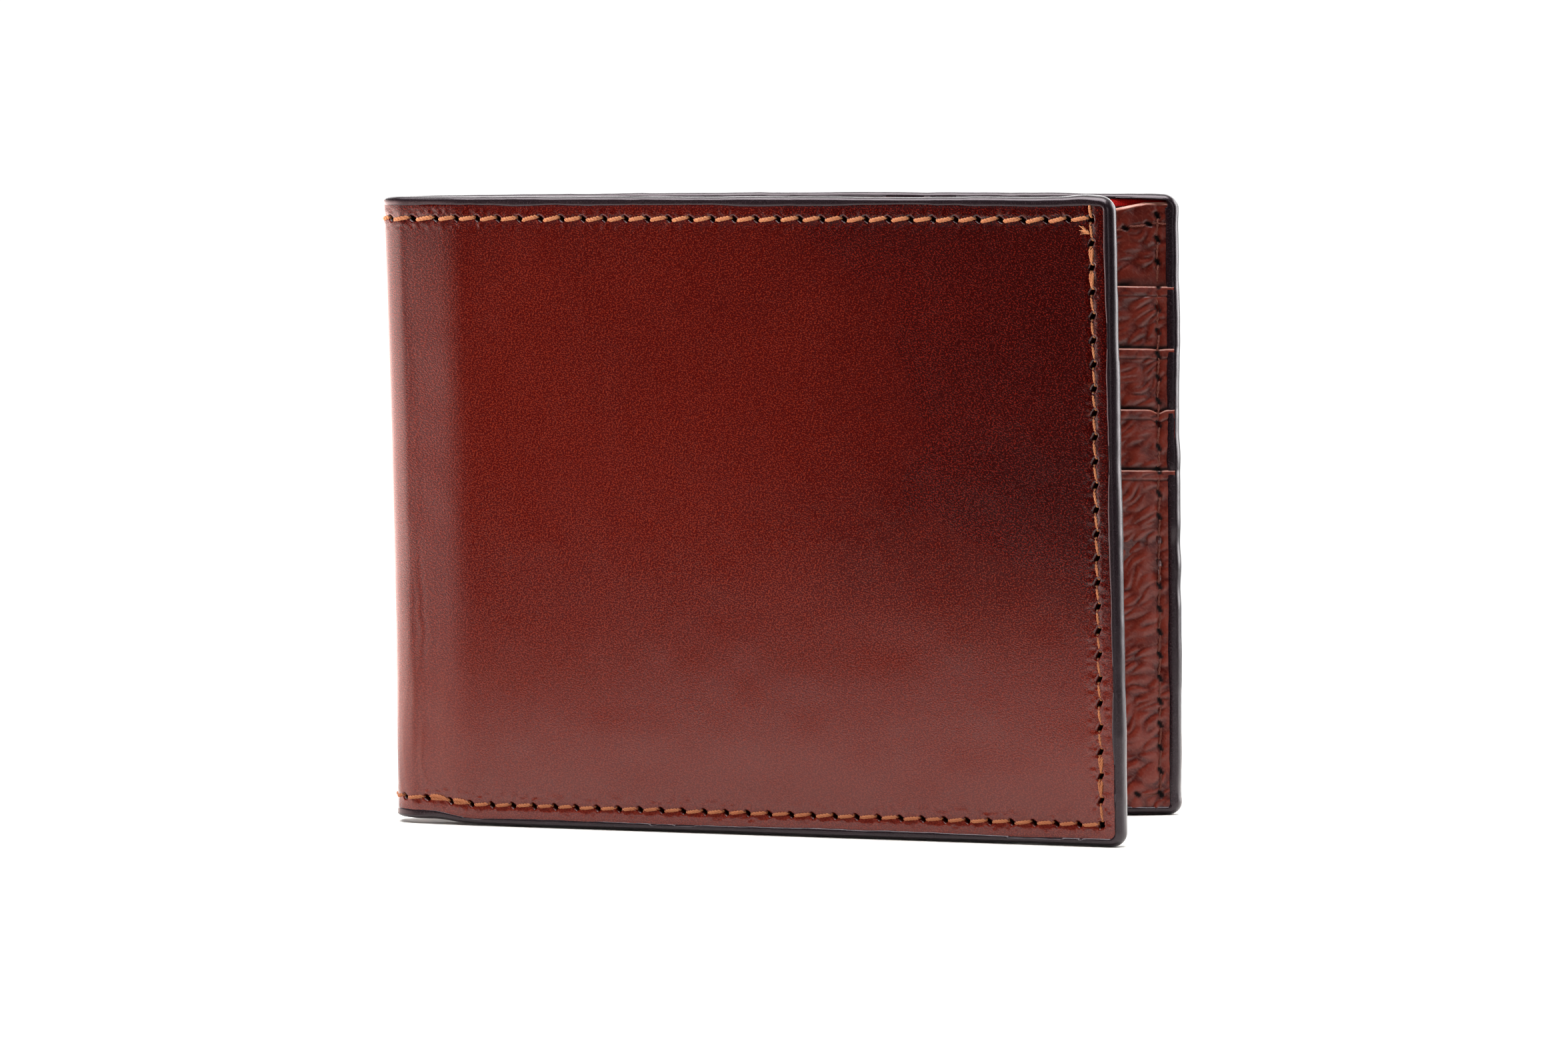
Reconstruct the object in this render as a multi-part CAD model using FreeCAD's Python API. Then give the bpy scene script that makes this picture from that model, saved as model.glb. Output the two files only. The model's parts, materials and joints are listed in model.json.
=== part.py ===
"""Bifold wallet, standing half open on its long bottom edges.

Millimetres, +Z up. The back half lies in the XZ plane with its outside facing +Y,
the fold is at -X, the mouth at +X, and the front half stands open towards -Y.
The origin is the centre of the footprint, on the surface the wallet stands on.

Each half is built in a local frame: X runs from the fold line to the outer end,
Y is 0 on the inside of the cover leather and grows outwards, and Z is up.
"""
import FreeCAD, Part
import math
import os

# Driving dimensions
HEIGHT = 89.0
HALF_LENGTH = 109.7          # fold line to outer end
FOLD_WIDTH = 7.0             # between the two fold lines
OPENING_DEG = 22.0           # between the two halves as the wallet stands

# Layer thicknesses, from the outside in
COVER = 1.2
LINING = 0.3
DIVIDER = 0.9
POCKET = 0.5
POCKET_LEG = 0.15            # the thin tail of a card pocket, behind the next pocket

# Outlines
CORNER_RADIUS = 2.0
EDGE_INSET = 0.2             # inner layers stop this far inside the cover's edge
FOLD_GAP = 0.2               # cover leather on each side of a fold line
LINING_START = 0.9           # the linings fold inside the cover, so they start further out
DIVIDER_START = 4.0
POCKET_START = 6.0
SPINE_LIFT = 0.7             # the fold's bottom edge clears the table
SPINE_TOP_DROP = 0.4

# The divider's top edge: high at the outer end, then a slope, then level to the fold
DIVIDER_END_TOP = 87.8
DIVIDER_LEVEL_TOP = 83.4
SLOPE_START = 4.7            # from the outer end
SLOPE_END = 24.5
SLOPE_BEND_RADIUS = 40.0

# Card pockets
POCKET_TOPS = (75.7, 66.8, 58.1, 49.4)
STRIP_HEIGHT = 17.0          # leather strip of each pocket but the front one
LEG_BOTTOM = 24.0
LEG_START = 14.0
LEG_END = 96.0

# Seams
SEAM_MARGIN = 3.1            # seam to edge
THREAD_WIDTH = 0.5
THREAD_HEIGHT = 0.2
POCKET_SEAM = 8.6            # fold-side seam of the pockets, from the fold line
POCKET_SEAM_TOP = 79.0

DIVIDER_FACE = -2 * LINING - DIVIDER     # inner face of the divider leather
SEAM_COLUMN = HALF_LENGTH - SEAM_MARGIN


def block(x_range, y_range, z_range):
    """Box between two values on each axis."""
    low = FreeCAD.Vector(x_range[0], y_range[0], z_range[0])
    size = [high - low_value for low_value, high in (x_range, y_range, z_range)]
    return Part.makeBox(size[0], size[1], size[2], low)


def fused(shapes):
    """One solid from touching shapes."""
    return shapes[0].multiFuse(shapes[1:]).removeSplitter()


def half_outline(inset, y_range):
    """A half's outline with round outer corners, as a plate between two Y values."""
    x_end = HALF_LENGTH - inset
    top = HEIGHT - inset
    radius = CORNER_RADIUS - inset
    diagonal = radius * (1 - math.sqrt(0.5))

    def point(x, z):
        return FreeCAD.Vector(x, y_range[0], z)

    edges = [
        Part.makeLine(point(FOLD_GAP, inset), point(x_end - radius, inset)),
        Part.Arc(point(x_end - radius, inset),
                 point(x_end - diagonal, inset + diagonal),
                 point(x_end, inset + radius)).toShape(),
        Part.makeLine(point(x_end, inset + radius), point(x_end, top - radius)),
        Part.Arc(point(x_end, top - radius),
                 point(x_end - diagonal, top - diagonal),
                 point(x_end - radius, top)).toShape(),
        Part.makeLine(point(x_end - radius, top), point(FOLD_GAP, top)),
        Part.makeLine(point(FOLD_GAP, top), point(FOLD_GAP, inset)),
    ]
    face = Part.Face(Part.Wire(edges))
    return face.extrude(FreeCAD.Vector(0, y_range[1] - y_range[0], 0))


def divider_top_edges(x_start, x_end, drop, y):
    """Edges of the divider's top line, moved down by drop, from the outer end to the fold side."""
    slope_start = (HALF_LENGTH - SLOPE_START, DIVIDER_END_TOP - drop)
    slope_end = (HALF_LENGTH - SLOPE_END, DIVIDER_LEVEL_TOP - drop)
    rise = slope_start[1] - slope_end[1]
    run = slope_start[0] - slope_end[0]
    turn = math.atan2(rise, run)
    tangent = SLOPE_BEND_RADIUS * math.tan(turn / 2)
    arc_in = (slope_end[0] + tangent * math.cos(turn), slope_end[1] + tangent * math.sin(turn))
    arc_out = (slope_end[0] - tangent, slope_end[1])
    centre = (arc_out[0], arc_out[1] + SLOPE_BEND_RADIUS)
    arc_middle = (centre[0] + SLOPE_BEND_RADIUS * math.sin(turn / 2),
                  centre[1] - SLOPE_BEND_RADIUS * math.cos(turn / 2))

    def point(pair):
        return FreeCAD.Vector(pair[0], y, pair[1])

    edges = []
    if x_end > slope_start[0]:
        edges.append(Part.makeLine(point((x_end, slope_start[1])), point(slope_start)))
        first = slope_start
    else:
        first = (x_end, slope_start[1] - (slope_start[0] - x_end) * math.tan(turn))
    edges.append(Part.makeLine(point(first), point(arc_in)))
    edges.append(Part.Arc(point(arc_in), point(arc_middle), point(arc_out)).toShape())
    edges.append(Part.makeLine(point(arc_out), point((x_start, slope_end[1]))))
    return edges


def divider_plate(x_start, y_range):
    """A layer of the divider, below its shaped top edge."""
    y = y_range[0]
    x_end = HALF_LENGTH - EDGE_INSET
    top = divider_top_edges(x_start, x_end, 0, y)
    top_end = top[0].valueAt(top[0].FirstParameter)
    top_start = top[-1].valueAt(top[-1].LastParameter)
    low_start = FreeCAD.Vector(x_start, y, EDGE_INSET)
    low_end = FreeCAD.Vector(x_end, y, EDGE_INSET)
    edges = [Part.makeLine(low_start, low_end), Part.makeLine(low_end, top_end)]
    edges += top
    edges.append(Part.makeLine(top_start, low_start))
    face = Part.Face(Part.Wire(edges))
    plate = face.extrude(FreeCAD.Vector(0, y_range[1] - y_range[0], 0))
    return plate.common(half_outline(EDGE_INSET, y_range))


def cover_lining():
    """Red lining of the bill compartment, on the inside of the cover."""
    y_range = (-LINING, 0)
    sheet = block((LINING_START, HALF_LENGTH), y_range, (0, HEIGHT))
    return sheet.common(half_outline(EDGE_INSET, y_range))


def pocket_levels(index):
    """How deep a pocket's lower and upper parts lie on the divider."""
    lower = index * POCKET_LEG
    if index == 0:
        return lower, lower
    return lower, (index - 1) * POCKET_LEG + POCKET


def card_pocket(index):
    """One card pocket: a leather strip that laps over the one behind, and its thin tail."""
    top = POCKET_TOPS[index]
    is_front = index == len(POCKET_TOPS) - 1
    bottom = EDGE_INSET if is_front else top - STRIP_HEIGHT
    lap = top if index == 0 else POCKET_TOPS[index - 1] - STRIP_HEIGHT
    x_range = (POCKET_START, HALF_LENGTH)
    lower, upper = pocket_levels(index)
    lower_face = DIVIDER_FACE - lower
    upper_face = DIVIDER_FACE - upper
    pieces = [block(x_range, (lower_face - POCKET, lower_face), (bottom, lap))]
    if index > 0:
        pieces.append(block(x_range, (upper_face - POCKET, upper_face), (lap, top)))
    if not is_front:
        leg_y = (lower_face - POCKET_LEG, lower_face)
        pieces.append(block((LEG_START, LEG_END), leg_y, (LEG_BOTTOM, bottom)))
    pocket = fused(pieces) if len(pieces) > 1 else pieces[0]
    return pocket.common(half_outline(EDGE_INSET, (-8.0, 0)))


def pocket_faces():
    """Inner face of the stack against height, as (z_low, z_high, y) from the top down."""
    steps = [(POCKET_TOPS[0], DIVIDER_END_TOP, DIVIDER_FACE)]
    for index, top in enumerate(POCKET_TOPS):
        lower, upper = pocket_levels(index)
        is_front = index == len(POCKET_TOPS) - 1
        next_top = 0.0 if is_front else POCKET_TOPS[index + 1]
        lap = top if index == 0 else POCKET_TOPS[index - 1] - STRIP_HEIGHT
        if index == 0:
            steps.append((next_top, top, DIVIDER_FACE - lower - POCKET))
        else:
            steps.append((lap, top, DIVIDER_FACE - upper - POCKET))
            steps.append((next_top, lap, DIVIDER_FACE - lower - POCKET))
    return steps


def stepped_thread(x_middle, z_low, z_high):
    """A vertical seam that follows the stepped pockets."""
    x_range = (x_middle - THREAD_WIDTH / 2, x_middle + THREAD_WIDTH / 2)
    pieces = []
    last_face = None
    for step_low, step_high, face in pocket_faces():
        low = max(step_low, z_low)
        high = min(step_high, z_high)
        if high <= low:
            continue
        pieces.append(block(x_range, (face - THREAD_HEIGHT, face), (low, high)))
        if last_face is not None and face < last_face:
            riser = (face - THREAD_HEIGHT, last_face)
            pieces.append(block(x_range, riser, (high, high + THREAD_HEIGHT)))
        if last_face is not None and face > last_face:
            riser = (last_face - THREAD_HEIGHT, face)
            pieces.append(block(x_range, riser, (high - THREAD_HEIGHT, high)))
        last_face = face
    return pieces


def edge_thread():
    """Tan thread on the outside: along the top, down the outer end, along the bottom."""
    y_range = (COVER, COVER + THREAD_HEIGHT)
    half_width = THREAD_WIDTH / 2
    column = (SEAM_COLUMN - half_width, SEAM_COLUMN + half_width)
    rows = []
    for z in (SEAM_MARGIN, HEIGHT - SEAM_MARGIN):
        rows.append(block((FOLD_GAP, SEAM_COLUMN), y_range, (z - half_width, z + half_width)))
    end = block(column, y_range, (SEAM_MARGIN - half_width, HEIGHT - SEAM_MARGIN + half_width))
    return fused(rows + [end])


def inner_thread():
    """Brown thread of the same seam on the inside: up the outer end and along the bottom."""
    half_width = THREAD_WIDTH / 2
    front_pocket_face = pocket_faces()[-1][2]
    z_top = DIVIDER_END_TOP - 1.0
    row_y = (front_pocket_face - THREAD_HEIGHT, front_pocket_face)
    row_z = (SEAM_MARGIN - half_width, SEAM_MARGIN + half_width)
    row = block((POCKET_SEAM + THREAD_WIDTH, SEAM_COLUMN), row_y, row_z)
    return fused(stepped_thread(SEAM_COLUMN, SEAM_MARGIN - half_width, z_top) + [row])


def pocket_thread():
    """Brown seam that holds the pockets to the divider beside the fold."""
    return fused(stepped_thread(POCKET_SEAM, SEAM_MARGIN, POCKET_SEAM_TOP))


def divider_thread():
    """Brown seam that follows the divider's top edge."""
    x_start = DIVIDER_START + 1.0
    x_end = SEAM_COLUMN - THREAD_WIDTH
    y = DIVIDER_FACE - THREAD_HEIGHT
    upper = divider_top_edges(x_start, x_end, SEAM_MARGIN - THREAD_WIDTH / 2, y)
    lower = divider_top_edges(x_start, x_end, SEAM_MARGIN + THREAD_WIDTH / 2, y)
    upper_wire = Part.Wire(upper)
    lower_wire = Part.Wire(lower)
    ends = []
    for edge_index, parameter in ((0, "FirstParameter"), (-1, "LastParameter")):
        upper_edge = upper[edge_index]
        lower_edge = lower[edge_index]
        upper_point = upper_edge.valueAt(getattr(upper_edge, parameter))
        lower_point = lower_edge.valueAt(getattr(lower_edge, parameter))
        ends.append(Part.makeLine(upper_point, lower_point))
    outline = Part.Wire(Part.__sortEdges__(upper_wire.Edges + lower_wire.Edges + ends))
    return Part.Face(outline).extrude(FreeCAD.Vector(0, THREAD_HEIGHT, 0))


def half_nodes():
    """Every piece of one half, in the half's local frame."""
    nodes = {
        "cover": half_outline(0, (0, COVER)),
        "cover_lining": cover_lining(),
        "divider_lining": divider_plate(LINING_START, (-2 * LINING, -LINING)),
        "divider": divider_plate(DIVIDER_START, (DIVIDER_FACE, -2 * LINING)),
        "edge_thread": edge_thread(),
        "inner_thread": inner_thread(),
        "pocket_thread": pocket_thread(),
        "divider_thread": divider_thread(),
    }
    for index in range(len(POCKET_TOPS)):
        nodes["card_pocket_%d" % (index + 1)] = card_pocket(index)
    return nodes


def spine_nodes():
    """The fold between the halves: X from the front fold line to the back one, Y outwards."""
    cover_x = (FOLD_GAP, FOLD_WIDTH - FOLD_GAP)
    lining_x = (LINING_START, FOLD_WIDTH - LINING_START)
    top = HEIGHT - SPINE_TOP_DROP
    thread_y = (COVER, COVER + THREAD_HEIGHT)
    half_width = THREAD_WIDTH / 2
    nodes = {
        "spine_cover": block(cover_x, (0, COVER), (SPINE_LIFT, top)),
        "spine_cover_lining": block(lining_x, (-LINING, 0), (SPINE_LIFT, top)),
        "spine_divider_lining": block(lining_x, (-2 * LINING, -LINING), (SPINE_LIFT, DIVIDER_LEVEL_TOP)),
    }
    for name, z in (("bottom", SEAM_MARGIN), ("top", HEIGHT - SEAM_MARGIN)):
        row = block(cover_x, thread_y, (z - half_width, z + half_width))
        nodes["spine_%s_thread" % name] = row
    return nodes


def place_back(shape):
    """The back half's local frame is already the wallet's, with its fold line at the start."""
    return shape.copy()


def place_front(shape):
    """Mirror a half and swing it open about the front fold line."""
    mirrored = shape.mirror(FreeCAD.Vector(0, 0, 0), FreeCAD.Vector(0, 1, 0))
    mirrored.rotate(FreeCAD.Vector(0, 0, 0), FreeCAD.Vector(0, 0, 1), -OPENING_DEG)
    mirrored.translate(front_fold_line())
    return mirrored


def place_spine(shape):
    """Turn the spine so that each half opens from it by half of the opening."""
    placed = shape.copy()
    placed.rotate(FreeCAD.Vector(0, 0, 0), FreeCAD.Vector(0, 0, 1), 90 - OPENING_DEG / 2)
    placed.translate(front_fold_line())
    return placed


def front_fold_line():
    """Where the front fold line stands when the back one is at the origin."""
    half_opening = math.radians(OPENING_DEG / 2)
    return FreeCAD.Vector(-FOLD_WIDTH * math.sin(half_opening), -FOLD_WIDTH * math.cos(half_opening), 0)


def wallet_nodes():
    """Every piece in place, before the origin is moved to the footprint's centre."""
    nodes = {}
    for name, shape in half_nodes().items():
        nodes["back_" + name] = place_back(shape)
        nodes["front_" + name] = place_front(shape)
    for name, shape in spine_nodes().items():
        nodes[name] = place_spine(shape)
    return nodes


def main():
    os.makedirs("parts", exist_ok=True)
    nodes = wallet_nodes()
    box = Part.makeCompound(list(nodes.values())).BoundBox
    to_origin = FreeCAD.Vector(-(box.XMin + box.XMax) / 2, -(box.YMin + box.YMax) / 2, -box.ZMin)
    for name, shape in sorted(nodes.items()):
        shape.translate(to_origin)
        shape.exportStep("parts/%s.step" % name)
        print("%-24s %d solid, %9.2f mm3, valid %s"
              % (name, len(shape.Solids), shape.Volume, shape.isValid()))
    print("size %.2f x %.2f x %.2f mm" % (box.XLength, box.YLength, box.ZLength))
    for name, point in (("back fold line", FreeCAD.Vector(0, 0, 0)), ("front fold line", front_fold_line())):
        place = point + to_origin
        print("%s at x %.4f, y %.4f" % (name, place.x, place.y))


main()
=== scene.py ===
import json
import math

import bmesh
import bpy
import numpy as np
from mathutils import Matrix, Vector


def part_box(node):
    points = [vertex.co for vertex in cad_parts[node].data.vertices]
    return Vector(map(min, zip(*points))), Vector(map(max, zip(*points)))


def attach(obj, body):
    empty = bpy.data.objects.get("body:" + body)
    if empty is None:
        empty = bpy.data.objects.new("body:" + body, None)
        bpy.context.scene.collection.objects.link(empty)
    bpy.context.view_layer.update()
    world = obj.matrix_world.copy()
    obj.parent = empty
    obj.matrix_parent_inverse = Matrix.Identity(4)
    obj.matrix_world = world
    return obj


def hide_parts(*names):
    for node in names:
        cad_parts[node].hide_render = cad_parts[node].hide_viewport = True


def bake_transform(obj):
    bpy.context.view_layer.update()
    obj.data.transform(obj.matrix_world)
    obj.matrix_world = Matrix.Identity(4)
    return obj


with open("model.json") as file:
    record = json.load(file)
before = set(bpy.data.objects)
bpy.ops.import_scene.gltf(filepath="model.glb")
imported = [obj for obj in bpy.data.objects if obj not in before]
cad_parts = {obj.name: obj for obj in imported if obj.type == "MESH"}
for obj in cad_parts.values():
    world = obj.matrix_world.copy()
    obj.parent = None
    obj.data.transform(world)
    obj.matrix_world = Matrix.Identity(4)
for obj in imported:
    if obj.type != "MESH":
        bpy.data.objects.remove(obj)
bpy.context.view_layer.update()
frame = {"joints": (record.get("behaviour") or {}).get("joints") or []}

# Everything below is in millimetres until a mesh is made.
MM = 0.001

# ---- the frame's own dimensions
JOINTS = {joint["name"]: joint for joint in frame["joints"]}
BACK_FOLD = np.array(JOINTS["back_fold"]["pos_m"][:2]) / MM
FRONT_FOLD = np.array(JOINTS["front_fold"]["pos_m"][:2]) / MM
HALF_OPENING = math.atan2(BACK_FOLD[0] - FRONT_FOLD[0], BACK_FOLD[1] - FRONT_FOLD[1])
FOLD_WIDTH = float(np.linalg.norm(BACK_FOLD - FRONT_FOLD))
COVER_HIGH = np.array(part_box("back_cover")[1]) / MM
HEIGHT = COVER_HIGH[2]
HALF_LENGTH = COVER_HIGH[0] - BACK_FOLD[0]
COVER = COVER_HIGH[1] - BACK_FOLD[1]                    # the cover's thickness

# Layers and outlines, as in the CAD part
LINING = 0.3
DIVIDER = 0.9
DIVIDER_FACE = -2 * LINING - DIVIDER
POCKET = 0.5
POCKET_TOPS = (75.7, 66.8, 58.1, 49.4)
POCKET_STEP_OUT = 0.15                    # a pocket stands this much further out than the one above
STRIP_HEIGHT = 17.0                       # height of a pocket's piece, except the front one's
POCKET_START = 6.0                        # this and the next two are measured from the fold line
DIVIDER_START = 4.0
POCKET_SEAM = 8.6
SEAM_MARGIN = 3.1
CORNER_RADIUS = 2.0

# The fold: a bend at each fold line, with the leather's inside on the inner radius
BEND_INNER = 2.9
BEND_TURN = math.pi / 2 - HALF_OPENING
BEND_TANGENT = BEND_INNER * math.tan(BEND_TURN / 2)
BEND_START = FOLD_WIDTH / 2 - BEND_TANGENT
BEND_LENGTH = (BEND_INNER + COVER) * BEND_TURN
BEND_END = BEND_START + BEND_LENGTH
U_FOLD = BEND_END - BEND_TANGENT          # u of a half's fold line, if it went on straight
U_END = HALF_LENGTH + U_FOLD
U_SEAM = U_END - SEAM_MARGIN
SPINE_SINK = 1.3                          # the layers sink in by this at the spine
SINK_END = BEND_END + 9                   # and less and less up to this u
SPINE_STANDS_OUT = 2.15                   # how far the soft spine stands out lengthwise
FOOT_STANDS_OUT = 0.28                    # and how much more at its foot
LEAN = 0.0165                             # how far the front half leans to the spine, for its height
UNMOVED_HEIGHT = 49                       # the height where the lean moves nothing


def ease(low, high, x):
    """0 up to low, 1 from high on, and a smooth rise between them."""
    t = np.clip((np.asarray(x, float) - low) / (high - low), 0, 1)
    return t * t * (3 - 2 * t)


def bump(x, centre, width):
    """A smooth hump: 1 at the centre, near 0 at twice the width."""
    return np.exp(-((np.asarray(x, float) - centre) / width) ** 2)


def hashed(ix, iy, seed):
    """A repeatable value from 0 to 1 for each lattice point."""
    value = np.sin(ix * 12.9898 + iy * 78.233 + seed * 37.719) * 43758.5453
    return value - np.floor(value)


def smooth_noise(x, y, cell, seed):
    """Smooth noise from -1 to 1 with features about one cell wide."""
    gx, gy = np.asarray(x, float) / cell, np.asarray(y, float) / cell
    ix, iy = np.floor(gx), np.floor(gy)
    fx, fy = ease(0, 1, gx - ix), ease(0, 1, gy - iy)
    low = hashed(ix, iy, seed) * (1 - fx) + hashed(ix + 1, iy, seed) * fx
    high = hashed(ix, iy + 1, seed) * (1 - fx) + hashed(ix + 1, iy + 1, seed) * fx
    return 2 * (low * (1 - fy) + high * fy) - 1


def cell_edges(x, y, cell, seed):
    """Distance between the nearest and second nearest of scattered points: 0 on a cell's edge."""
    gx, gy = np.asarray(x, float) / cell, np.asarray(y, float) / cell
    ix, iy = np.floor(gx), np.floor(gy)
    first = np.full(np.shape(gx), 9.0)
    second = first.copy()
    for dx in (-1, 0, 1):
        for dy in (-1, 0, 1):
            px = ix + dx + hashed(ix + dx, iy + dy, seed)
            py = iy + dy + hashed(ix + dx, iy + dy, seed + 5)
            distance = np.hypot(px - gx, py - gy)
            second = np.minimum(second, np.maximum(first, distance))
            first = np.minimum(first, distance)
    return second - first


# ---- one half's own coordinates
class Half:
    """u runs along the leather from the middle of the spine to the outer end, n is 0 on the
    inside of the cover and grows outwards, and z is up. place() bends that round the fold."""

    def __init__(self, side):
        turn = 2 * HALF_OPENING if side == "front" else 0.0
        self.side = side
        self.body = side + "_half"
        self.fold = FRONT_FOLD if side == "front" else BACK_FOLD
        self.along = np.array([math.cos(turn), -math.sin(turn)])
        self.sign = 1 if side == "front" else -1
        self.out = -self.sign * np.array([math.sin(turn), math.cos(turn)])
        self.spine_along = -self.sign * np.array([math.sin(HALF_OPENING), math.cos(HALF_OPENING)])
        self.spine_out = np.array([-math.cos(HALF_OPENING), math.sin(HALF_OPENING)])
        self.centre = self.fold + BEND_TANGENT * self.along - BEND_INNER * self.out

    def place(self, u, n, z):
        """World positions, in millimetres, of points in this half's coordinates."""
        u, n, z = (np.asarray(a, float) for a in np.broadcast_arrays(u, n, z))
        n = n - SPINE_SINK * (1 - ease(0, SINK_END, u))
        z = z + self.top_line(u) * ease(0.2, 1, z / HEIGHT) + self.bottom_lift(u, z)
        flat = self.fold + np.multiply.outer(u - U_FOLD, self.along) + np.multiply.outer(n, self.out)
        spine = (self.fold + np.multiply.outer(u - FOLD_WIDTH / 2, self.spine_along)
                 + np.multiply.outer(n, self.spine_out))
        angle = np.clip((u - BEND_START) / BEND_LENGTH, 0, 1) * BEND_TURN * self.sign
        cos, sin = np.cos(angle), np.sin(angle)
        normal = np.stack([cos * self.spine_out[0] - sin * self.spine_out[1],
                           sin * self.spine_out[0] + cos * self.spine_out[1]], -1)
        bend = self.centre + (BEND_INNER + n)[..., None] * normal
        xy = np.where((u < BEND_START)[..., None], spine, np.where((u > BEND_END)[..., None], flat, bend))
        xy = xy + self.lean(u, z)[..., None] * FRONT.along
        return np.concatenate([xy, z[..., None]], -1)

    def lean(self, u, z):
        """How far a point moves along the front half, which leans, while the spine stands out."""
        share = 0.5 * (1 - ease(0, BEND_END, u))
        if self.side == "front":
            share = 0.5 + 0.5 * ease(0, BEND_START, u)
        slope = -LEAN * (z - UNMOVED_HEIGHT)
        fade = 1 - 0.6 * ease(20, U_END, u) * (z > UNMOVED_HEIGHT)
        bow = 0.2 * (1 - (2 * z / HEIGHT - 1) ** 2)
        stands_out = SPINE_STANDS_OUT + FOOT_STANDS_OUT * (1 - ease(0, 60, z))
        return share * (slope * fade + bow) - stands_out * (1 - ease(1, 12, u))

    def top_line(self, u):
        """The top edge isn't quite straight."""
        t = np.clip((u - U_FOLD) / HALF_LENGTH, 0, 1)
        if self.side == "front":
            return 0.3 - 0.65 * t + 0.12 * bump(t, 0.955, 0.02) - 0.08 * bump(t, 0.89, 0.03)
        return 0.3 + 1.15 * t - 1.8 * t * t

    def bottom_lift(self, u, z):
        """The fold stands a little off the table."""
        lift = 0.75 * (1 - ease(4, 17, u)) + 0.18 * bump(u, 9.5, 1.8)
        return lift * (1 - ease(0, 30, z))


FRONT = Half("front")
BACK = Half("back")


# ---- meshes
def in_scene(name, data):
    obj = bpy.data.objects.new(name, data)
    bpy.context.scene.collection.objects.link(obj)
    return obj


def make_object(name, points, faces, material, uv, attributes=None):
    """A smooth mesh object from points in millimetres, with its faces turned outwards. One unit
    of its UV map is 100 mm."""
    mesh = bpy.data.meshes.new(name)
    mesh.from_pydata((np.asarray(points) * MM).tolist(), [], faces)
    mesh.materials.append(material)
    turned = bmesh.new()
    turned.from_mesh(mesh)
    bmesh.ops.recalc_face_normals(turned, faces=turned.faces)
    turned.to_mesh(mesh)
    turned.free()
    mesh.polygons.foreach_set("use_smooth", np.ones(len(mesh.polygons), bool))
    loops = np.empty(len(mesh.loops), int)
    mesh.loops.foreach_get("vertex_index", loops)
    layer = mesh.uv_layers.new(name="Leather")
    layer.data.foreach_set("uv", (uv[loops] / 100.0).astype(np.float32).ravel())
    for key, values in (attributes or {}).items():
        layer = mesh.attributes.new(key, "FLOAT", "POINT")
        layer.data.foreach_set("value", np.asarray(values, np.float32))
    mesh.validate()
    mesh.update()
    return in_scene(name, mesh)


def spaced(low, high, step):
    """Lattice lines from low to high, about step apart, in a multiple of four cells."""
    count = 4 * max(1, round((high - low) / step / 4))
    return np.linspace(low, high, count + 1)


def round_corners(radius, u_end, z_low, z_high):
    """Moves lattice points so that the outer corners are round."""
    def warp(u, z):
        u, z = u.copy(), z.copy()
        a = np.clip((u - (u_end - radius)) / radius, 0, 1)
        for z_edge, sign in ((z_low, -1), (z_high, 1)):
            b = np.clip(sign * (z - (z_edge - sign * radius)) / radius, 0, 1)
            inside = (a > 0) & (b > 0)
            u = np.where(inside, u_end - radius + radius * a * np.sqrt(1 - b * b / 2), u)
            z = np.where(inside, z_edge - sign * radius * (1 - b * np.sqrt(1 - a * a / 2)), z)
        return u, z
    return warp


def sheet_mesh(us, zs, is_fine, face_n, cap_n, warp=None):
    """A closed sheet: one shaped side on a lattice that is fine only where is_fine says so,
    a rim, and a plain side. Returns local u, n, z, the faces and how many points are shaped."""
    coarse_i, coarse_j = (len(us) - 1) // 4, (len(zs) - 1) // 4
    centre_u = (us[0:-1:4] + us[4::4]) / 2
    centre_z = (zs[0:-1:4] + zs[4::4]) / 2
    fine = is_fine(*np.meshgrid(centre_u, centre_z, indexing="ij"))
    used = np.zeros((len(us), len(zs)), bool)
    used[::4, ::4] = True
    for i, j in zip(*np.nonzero(fine)):
        used[4 * i:4 * i + 5, 4 * j:4 * j + 5] = True
    index = np.full(used.shape, -1)
    index[used] = np.arange(used.sum())
    grid_u, grid_z = np.meshgrid(us, zs, indexing="ij")
    if warp:
        grid_u, grid_z = warp(grid_u, grid_z)
    u, z = grid_u[used], grid_z[used]
    n = face_n(u, z)
    faces = []
    for i in range(coarse_i):
        for j in range(coarse_j):
            block = index[4 * i:4 * i + 5, 4 * j:4 * j + 5]
            if fine[i, j]:
                quads = np.stack([block[:-1, :-1], block[1:, :-1], block[1:, 1:], block[:-1, 1:]], -1)
                faces += quads.reshape(-1, 4).tolist()
                continue
            ring = np.concatenate([block[:-1, 0], block[-1, :-1], block[:0:-1, -1], block[0, :0:-1]])
            faces.append(ring[ring >= 0].tolist())
    bottom, top = (row[row >= 0] for row in (index[:, 0], index[:, -1]))
    start, end = (row[row >= 0] for row in (index[0], index[-1]))
    rim = np.concatenate([bottom, end[1:], top[::-1][1:], start[::-1][1:-1]])
    count = len(u)
    cap_of = {int(v): count + k for k, v in enumerate(rim)}
    u, z = np.concatenate([u, u[rim]]), np.concatenate([z, z[rim]])
    n = np.concatenate([n, cap_n(u[count:], z[count:])])
    ring = rim.tolist() + [int(rim[0])]
    for a, b in zip(ring[:-1], ring[1:]):
        faces.append([b, a, cap_of[a], cap_of[b]])
    cap_bottom, cap_top = ([cap_of[int(v)] for v in row] for row in (bottom, top))
    last = len(cap_bottom) - 2
    for k in range(last + 1):
        face = [cap_bottom[k + 1], cap_bottom[k]]
        if k == 0:
            face += [cap_of[int(v)] for v in start[1:-1]]
        face += [cap_top[k], cap_top[k + 1]]
        if k == last:
            face += [cap_of[int(v)] for v in end[::-1][1:-1]]
        faces.append(face)
    return u, n, z, faces, count


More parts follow.
